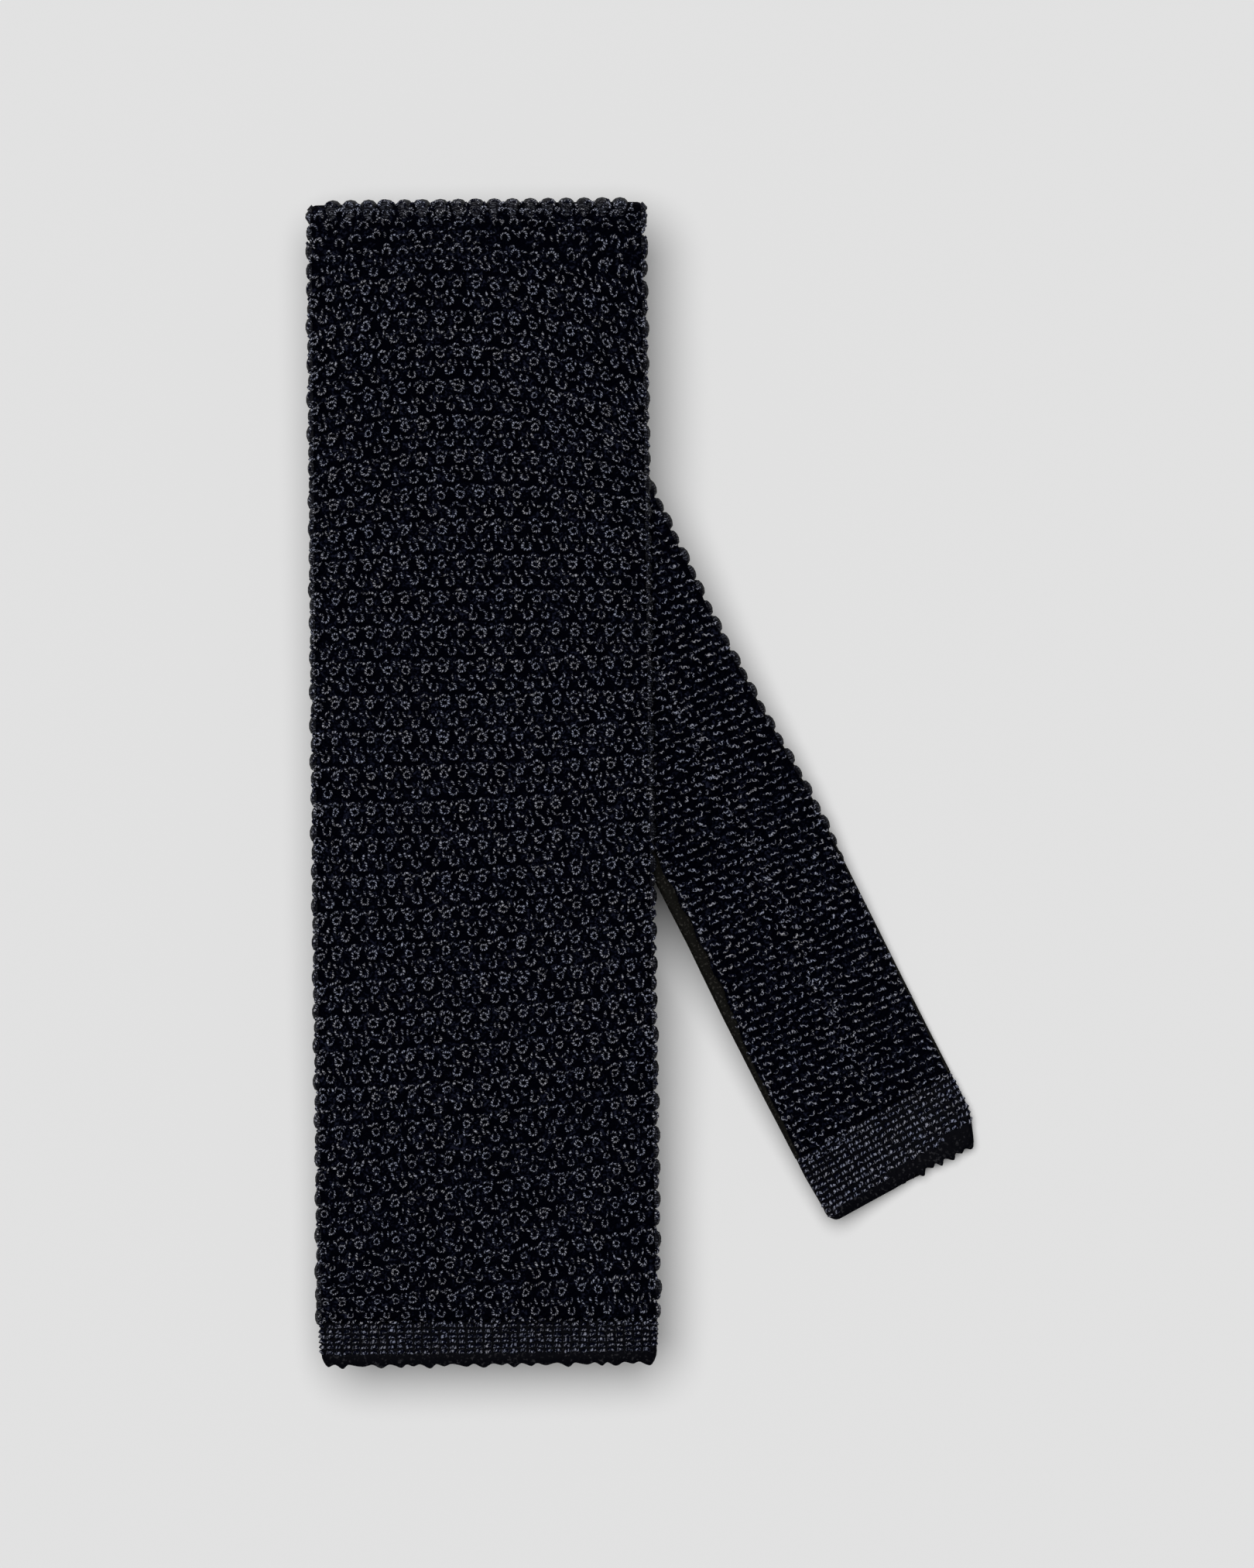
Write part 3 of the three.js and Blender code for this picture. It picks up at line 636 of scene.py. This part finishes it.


# The blade's yarn: navy body, with painted highlights along its ply strokes.
silk_yarn = yarn_material("silk_yarn", (0.0017, 0.0022, 0.0082, 1), (0.300, 0.300, 0.326, 1), 0.045, 1.1)
BLADE_MIDDLE = 100.0
BANDS = (BLADE_HEM_DEPTH + 0.6, 78.0, 148.0, BLADE_ROWS_END)
for number, (band_from, band_to) in enumerate(zip(BANDS[:-1], BANDS[1:]), 1):
    way, along, row = lattice(band_from, band_to, WALE, COURSE, width_at(BLADE_MIDDLE) / 2 + 0.35)
    corner = (along > 207.0) & (np.abs(way) > 27.5)
    way, along, row = way[~corner], along[~corner], row[~corner]
    hooded = along > HOOD_FROM
    closed_, open_ = ~hooded & (row % 2 == 0), ~hooded & (row % 2 == 1)
    uneven = closed_ & (rng.random(len(way)) < 0.45)
    round_ = closed_ & ~uneven
    size = 1 - 0.12 * (1 - smooth(along, 20, 70))
    top_way, top = way[hooded], along[hooded]
    ring_way, ring = way[closed_], along[closed_]
    loop_way, loop = way[open_], along[open_]
    round_cells = jittered(way[round_], along[round_], 0.08, (0, 0.4), 0.0, size[round_])
    round_rings = stitches(CLOSED_RING, round_cells, on_blade)
    uneven_cells = jittered(way[uneven], along[uneven], 0.08, (0, 0.9), 0.0, size[uneven])
    groups = [
        round_rings,
        stitches(UNEVEN_RING, uneven_cells, on_blade),
        stitches(OPEN_RING, jittered(loop_way, loop, 0.08, (0, 0.25), 0.0, size[open_]), on_blade),
        stitches(HOOD, jittered(top_way, top, 0.26, (-0.15, 0.35)), on_blade),
        stitches(CAP, jittered(top_way, top + 1.45, 0.30, (0, 0.5)), on_blade),
        stitches(SPECK, jittered(top_way + 1.60, top + 0.60, 0.35, (0.9, 0.8)), on_blade),
        stitches(CAP, jittered(ring_way - 0.2, ring + 1.42, 0.10, (0, 0.3)), on_blade),
        stitches(SPECK, jittered(ring_way + 0.95, ring + 0.98, 0.10, (1.1, 0.5)), on_blade),
        stitches(SPECK, jittered(ring_way - 1.10, ring + 1.05, 0.10, (-0.9, 0.6)), on_blade),
        stitches(STROKE, jittered(loop_way + 1.15, loop + 1.34, 0.09, (-1.15, 0.2), 0.0, 0.9), on_blade),
        stitches(SPECK, jittered(loop_way + 0.05, loop + 1.50, 0.10, (1.3, 0.4)), on_blade),
        stitches(SPECK, jittered(loop_way - 1.05, loop + 1.00, 0.10, (-0.5, 0.6)), on_blade),
    ]
    if number == 1:
        joint = np.arange(-29.5, 29.5, 1.25)
        groups.append(stitches(SPECK, jittered(joint, 7.7 + 0 * joint, 0.28, (0.2, 0.9), 0.05), on_blade))
    band = join(f"blade_stitches_{number}", groups)
    band.data.materials.append(silk_yarn)
    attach(band, "root")

# The tail's stitches. The narrow end is knitted in a flatter pattern of short floats: a wide
# float in one row and two small loops under it in the next. It lies with its other face up.
TAIL_ROWS_FROM = TAIL_START + 8.0
TAIL_CLIMB = 0.075
FLOAT = yarn_template(
    np.stack([0.78 * arch_way, 0.12 * arch_way ** 2, 0.20 - 0.50 * arch_way ** 4], 1), 0.36)
LOOP_PAIR = yarn_template(
    np.stack([0.50 * arch_way, 0.12 * np.cos(3.2 * arch_way), 0.16 - 0.48 * arch_way ** 4], 1), 0.32)
STRIP_AT = (0.0, 0.45, 0.62, 0.74, 0.80, 0.88, 0.93, 1.0)
STRIP_WIDTH = (1.9, 2.2, 2.6, 2.4, 1.3, 1.2, 0.6, 0.3)
SEAM_WAY = 1.9
# The tail's yarn: the same painted highlights, in zigzag strokes.
silk_float = yarn_material(
    "silk_float", (0.0017, 0.0022, 0.0082, 1), (0.325, 0.325, 0.353, 1), 0.045, 1.3, zigzag=0.24)


def on_tail(along, way, lift):
    """On the tail's upper side, its rows climbing to the right, with a little unevenness."""
    row = along + TAIL_CLIMB * way
    return round_tube(row + drift(along, way, 5, 0.2), way + drift(along, way, 6, 0.2), lift, -1)


way, along, row = lattice(TAIL_ROWS_FROM, TAIL_END, TAIL_WALE, TAIL_COURSE, NECK_WIDTH / 2 + 1)
inside = along + TAIL_CLIMB * way < TAIL_END - TAIL_HEM_DEPTH - 0.4
inside &= way < width_at(along) / 2 - np.where(along < TAIL_SMOOTH_FROM, 1.0, 1.6)
strip = np.interp((along - TAIL_START) / TAIL_LENGTH, STRIP_AT, STRIP_WIDTH)
inside &= way > strip - width_at(along) / 2
way, along = way[inside], along[inside]
border = np.arange(TAIL_ROWS_FROM, TAIL_END - TAIL_HEM_DEPTH - 1.0, TAIL_COURSE / 2)
strip = np.interp((border - TAIL_START) / TAIL_LENGTH, STRIP_AT, STRIP_WIDTH)
border_way = strip - width_at(border) / 2 + 0.1 * np.cos(border * np.pi / TAIL_COURSE) + 0.35
right = border[border > TAIL_SMOOTH_FROM - 16]
right_way = width_at(right) / 2 - 1.15
seam = np.arange(TAIL_ROWS_FROM + 2.0, TAIL_END - TAIL_HEM_DEPTH - 3.0, 0.8)
seam = seam + 1.1 * np.sin(2 * np.pi * seam / (2 * TAIL_COURSE))
seam_way = SEAM_WAY + rng.normal(0, 0.8, len(seam))
between = along + TAIL_COURSE / 2
groups = [
    stitches(FLOAT, jittered(way, along, 0.13, (0.30, 0.22)), on_tail, True),
    stitches(LOOP_PAIR, jittered(way - 0.60, between, 0.12, (-0.50, 0.35), 0.0, 0.86), on_tail, True),
    stitches(LOOP_PAIR, jittered(way + 0.66, between + 0.25, 0.12, (-0.35, 0.45), 0.0, 0.86), on_tail, True),
    stitches(LOOP_PAIR, jittered(border_way, border, 0.12, (1.2, 0.4)), on_tail, True),
    stitches(LOOP_PAIR, jittered(right_way, right, 0.16, (0.6, 0.5), -0.04), on_tail, True),
    stitches(SPECK, jittered(seam_way, seam, 0.3, (1.0, 0.9), 0.05), on_tail, True),
]
tail_stitches = join("tail_stitches", groups)
tail_stitches.data.materials.append(silk_float)
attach(tail_stitches, "root")

# The tail's selvedges. Where the narrow end is turned over, its side shows as a smooth
# brown-black strip of the same silk, wider on the left than on the right; it runs into the hem.
RIM_AT = (0.0, 0.60, 0.64, 1.0)
RIM_WIDTH = (0.02, 0.02, 0.45, 0.55)


def slab_mesh(name, top, bottom, uv):
    """Joins two grids of points into one closed plate, with a ring of faces round the rim."""
    rows, columns = top.shape[:2]
    ids = np.arange(rows * columns).reshape(rows, columns)
    upper = np.stack([ids[:-1, :-1], ids[1:, :-1], ids[1:, 1:], ids[:-1, 1:]], -1).reshape(-1, 4)
    rim = np.concatenate([ids[0, :-1], ids[:-1, -1], ids[-1, :0:-1], ids[:0:-1, 0]])
    after = np.roll(rim, -1)
    walls = np.stack([rim, after, after + ids.size, rim + ids.size], -1)
    quads = np.concatenate([upper, upper[:, ::-1] + ids.size, walls])
    points = np.concatenate([top.reshape(-1, 3), bottom.reshape(-1, 3)])
    if not outward(points, quads):
        quads = quads[:, ::-1]
    corners = np.concatenate([uv.reshape(-1, 2)] * 2)[quads]
    return quad_mesh(name, points, quads, corners)


def selvedge(name, side, at, widths):
    """A strip along one edge of the tail, from its width inside the edge to under the tube."""
    along = np.arange(TAIL_START + 60.0, TAIL_END - TAIL_HEM_DEPTH + 0.3, 0.7)[:, None]
    width = np.interp((along - TAIL_START) / TAIL_LENGTH, at, widths)
    width = width + 0.10 * width * np.sin(2 * np.pi * along / 6.6) + 0.07 * np.sin(4.3 * along)
    share = np.linspace(0, 1, 12)[None]
    around = (1 - share) * (width_at(along) / 2 - width) + share * (width_at(along) / 2 + 1.6)
    lift = -0.24 - 0.26 * (2 * share - 1) ** 6
    top = round_tube(along, side * around, lift, -1)
    bottom = round_tube(along, side * around, -0.62 + 0 * share, -1)
    return slab_mesh(name, top, bottom, np.stack(np.broadcast_arrays(side * around, along), -1))


dull = Nodes("silk_selvedge")
dots = dull.maths("MULTIPLY_ADD", dull.noise(2400.0, 1.0), 8.0, -4.7, clamp=True)
dull_colour = dull.blend(dots, (0.0046, 0.0044, 0.0036, 1), (0.0280, 0.0270, 0.0235, 1))
dull.put(dull.shader.inputs["Base Color"], dull_colour)
dull.put(dull.shader.inputs["Roughness"], 0.7)
dull.put(dull.shader.inputs["Specular IOR Level"], 0.05)
dull.bump(dull.noise(1500.0, 2.0), 0.00008)
left_selvedge = selvedge("tail_selvedge_left", -1, STRIP_AT, STRIP_WIDTH)
right_selvedge = selvedge("tail_selvedge_right", 1, RIM_AT, RIM_WIDTH)
for piece in (left_selvedge, right_selvedge):
    piece.data.materials.append(dull.material)
    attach(piece, "root")

# The blade's hem. A finer plain knit, worked on as a flat sleeve: small stitches in pairs, and
# a smooth rolled lip round its open mouth, whose edge is wavy.
PLAIN_STITCH = yarn_template(
    np.stack([0.48 * arch_way, 0.12 - 0.24 * arch_way ** 2, 0.12 - 0.42 * arch_way ** 4], 1), 0.33)


def teeth(across, pitch, depth, seed):
    """How far a wavy edge stands out: teeth of uneven pitch and depth, each the eased share of
    its pitch on the way up, over six tenths of it, and down again over the rest."""
    place = across / pitch + 0.18 * np.sin(0.37 * across + seed) + 0.08 * np.sin(1.1 * across + 2 * seed)
    share = place - np.floor(place)
    size = 0.72 + 0.28 * np.sin(2.4 * np.floor(place) + seed)
    return depth * (size * smooth(np.minimum(share / 0.6, (1 - share) / 0.4), 0, 1) - 0.6)


class Hem:
    """A hem's surface, in millimetres from its mouth, the way round it and the height over it."""

    def __init__(self, depth, face, lean, stretch, corner, teeth_from, pitch, tooth, seed):
        self.depth, self.face, self.lean, self.stretch = depth, face, lean, stretch
        self.corner, self.teeth_from = corner, teeth_from
        self.pitch, self.tooth, self.seed = pitch, tooth, seed

    def place(self, rise, way, lift):
        """The hem narrows towards its mouth, its corners are cut, its lip is thinner, and its
        upper side gapes a little. The mouth's line leans, and its edge has teeth."""
        rise, way, lift = np.broadcast_arrays(rise, way, lift)
        edge = THICKNESS / 2 - 0.1 - 0.35 * (1 - smooth(rise, 0, 2.5))
        inset = HEM_INSET + 0.5 * (1 - smooth(rise, 0, self.depth))
        inset = inset + 1.1 * np.maximum(1 - rise / 2.6, 0) ** 2
        along = rise if self.face > 0 else TAIL_END - rise
        reach = width_at(along) / 2 - inset - edge
        angle = np.clip((np.abs(way) - reach) / edge, 0, np.pi)
        under = np.maximum(np.abs(way) - reach - np.pi * edge, 0)
        across = np.sign(way) * (np.minimum(np.abs(way), reach) - under + (edge + lift) * np.sin(angle))
        low = (1 - smooth(rise, 0, self.depth))
        toothed = smooth(across, self.teeth_from - 3, self.teeth_from + 3)
        edge_wave = teeth(across, self.pitch, self.tooth, self.seed) * low ** 3 * toothed
        across = across - self.corner * (1 - smooth(rise, 0, 8)) ** 2 * smooth(across, 3, 15)
        shift = low * (self.lean * across - self.stretch - edge_wave)
        gape = MOUTH_GAPE * (1 - rise / self.depth) ** 2 * (1 + np.cos(angle)) / 2
        offset = self.face * ((edge + lift) * np.cos(angle) + gape)
        return lay(along + self.face * shift, across, offset)

    def sleeve(self, name):
        """The sleeve itself: down its outside, over the lip, and up its inside."""
        rows = np.concatenate([np.linspace(self.depth, 2.6, 7), [2.0, 1.3, 0.7, 0.3, 0.08, 0.0]])
        rows[0] += 0.9
        lifts = np.concatenate([[-0.48, -0.36], np.full(5, -0.28), [-0.15, 0.0, 0.02, -0.04, -0.14, -0.28]])
        back = np.array([0.1, 0.6, 1.5, 3.0, self.depth - 1.0, self.depth + 0.9])
        down = np.array([-0.42, -0.52, -0.6, -0.75, -0.75, -0.75])
        rise, lift = np.concatenate([rows, back]), np.concatenate([lifts, down])
        end = width_at(0.0 if self.face > 0 else TAIL_END) + 0.6
        way = np.linspace(-end, end, 340 if end > 40 else 190, endpoint=False)
        points = self.place(rise[:, None], way[None], lift[:, None])
        u = np.append(way, way[0] + 2 * end)[None]
        v = np.append(rise, rise[0])[:, None]
        return ring_mesh(name, points, np.stack(np.broadcast_arrays(u, v), -1))

    def stitch_rows(self, rows, pitch, low, slope):
        """Plain stitches in rows on the hem's upper side, down to a line that slopes a little."""
        half = width_at(0.0 if self.face > 0 else TAIL_END) / 2 - 0.7
        column = np.arange(-half, half + 0.7 * pitch, pitch)
        rise, way = (a.ravel() for a in np.meshgrid(rows, column, indexing="ij"))
        above = rise > low + slope * way
        cells = jittered(way[above], rise[above], 0.06, (0, 0.16), -0.12, pitch / 1.50)
        return stitches(PLAIN_STITCH, cells, self.place, mirrored=self.face < 0)


lip = Nodes("silk_lip")
u_mm, v_mm = lip.uv()
# Painted sheen: neutral grey mottles are painted on the rolled lip near the mouth; the rest of the sleeve
# keeps the near-black base.
lip_sheen_mask = lip.maths("MULTIPLY_ADD", v_mm, -0.8, 2.8, clamp=True)
mottles = lip.maths("MULTIPLY_ADD", lip.noise(1700.0, 2.0), 7.0, -4.0, clamp=True)
painted_lip_sheen = lip.maths("MULTIPLY", lip_sheen_mask, mottles)
lip_colour = lip.blend(painted_lip_sheen, (0.0012, 0.0013, 0.0026, 1), (0.0200, 0.0200, 0.0230, 1))
lip.put(lip.shader.inputs["Base Color"], lip_colour)
lip.put(lip.shader.inputs["Roughness"], 0.6)
lip.put(lip.shader.inputs["Specular IOR Level"], 0.02)
lip.bump(lip.noise(1600.0, 3.0), 0.00012)

# The blade hem's yarn: the same painted highlights.
silk_hem = yarn_material("silk_hem", (0.0017, 0.0022, 0.0075, 1), (0.240, 0.242, 0.276, 1), 0.03, 0.82)
blade_end = Hem(
    BLADE_HEM_DEPTH, face=1, lean=0.0, stretch=0.15, corner=0.0,
    teeth_from=-40.0, pitch=3.0, tooth=0.78, seed=11)
blade_hem = blade_end.sleeve("blade_hem_sleeve")
blade_hem.data.materials.append(lip.material)
blade_rows = np.arange(6.9, 1.7, -0.88)
blade_hem_stitches = join("blade_hem_stitches", [blade_end.stitch_rows(blade_rows, 1.55, 2.15, 0.012)])
blade_hem_stitches.data.materials.append(silk_hem)
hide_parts("blade_hem")

# The tail's hem. The same plain knit of silk, worked on round the narrow end. It is deeper, its
# right corner is rounded off, and its mouth leans and has sharper teeth on the right half.
# The tail hem's yarn: the same painted highlights.
silk_cuff = yarn_material("silk_cuff", (0.0018, 0.0023, 0.0080, 1), (0.262, 0.265, 0.303, 1), 0.03, 1.18)
tail_end = Hem(
    TAIL_HEM_DEPTH, face=-1, lean=-0.03, stretch=1.35, corner=2.0,
    teeth_from=0.0, pitch=2.3, tooth=1.15, seed=12)
tail_hem = tail_end.sleeve("tail_hem_sleeve")
tail_hem.data.materials.append(lip.material)
tail_rows = np.arange(11.7, 0.9, -1.05)
tail_hem_stitches = join("tail_hem_stitches", [tail_end.stitch_rows(tail_rows, 1.58, 2.4, 0.09)])
tail_hem_stitches.data.materials.append(silk_cuff)
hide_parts("tail_hem")
for piece in (blade_hem, blade_hem_stitches, tail_hem, tail_hem_stitches):
    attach(piece, "root")

# The floor, the light and the camera: a plain pale surface under one broad soft light from
# the upper left, seen from straight above with a long lens.
corners = np.array([(-3.0, -3.0, -0.0002), (3.0, -3.0, -0.0002), (3.0, 3.0, -0.0002), (-3.0, 3.0, -0.0002)])
floor_mesh = quad_mesh("floor", corners, np.array([[0, 1, 2, 3]]))
paper = Nodes("floor_paper")
paper.put(paper.shader.inputs["Base Color"], (0.80, 0.80, 0.80, 1))
paper.put(paper.shader.inputs["Roughness"], 0.9)
paper.put(paper.shader.inputs["Specular IOR Level"], 0.1)
floor_mesh.data.materials.append(paper.material)

sun = bpy.data.lights.new("soft_key", "SUN")
sun.energy = 2.88
sun.angle = np.radians(50)
key = bpy.data.objects.new("soft_key", sun)
key.rotation_euler = (np.radians(-9.9), np.radians(-6.0), 0)
bpy.context.scene.collection.objects.link(key)
world = bpy.data.worlds.new("studio")
world.use_nodes = True
world.node_tree.nodes["Background"].inputs["Color"].default_value = (1, 1, 1, 1)
world.node_tree.nodes["Background"].inputs["Strength"].default_value = 0.05
bpy.context.scene.world = world
bpy.context.scene.view_settings.view_transform = "Standard"

PIXEL = 0.13661
LENS, SENSOR = 150.0, 36.0
FRAME_HEIGHT = 2025 * PIXEL
LEAN = 0.011
camera_data = bpy.data.cameras.new("camera")
camera_data.lens = LENS
camera_data.sensor_width = SENSOR
camera_data.clip_end = 10.0
camera = bpy.data.objects.new("camera", camera_data)
blade_top = (LEVEL[0] * PITCH + THICKNESS) * MM
centre = np.array([25.55, 102.36]) * MM + ORIGIN[:2]
camera.location = (centre[0], centre[1], blade_top + FRAME_HEIGHT * MM / SENSOR * LENS)
camera.rotation_euler = (0, 0, -LEAN)
bpy.context.scene.collection.objects.link(camera)
bpy.context.scene.camera = camera

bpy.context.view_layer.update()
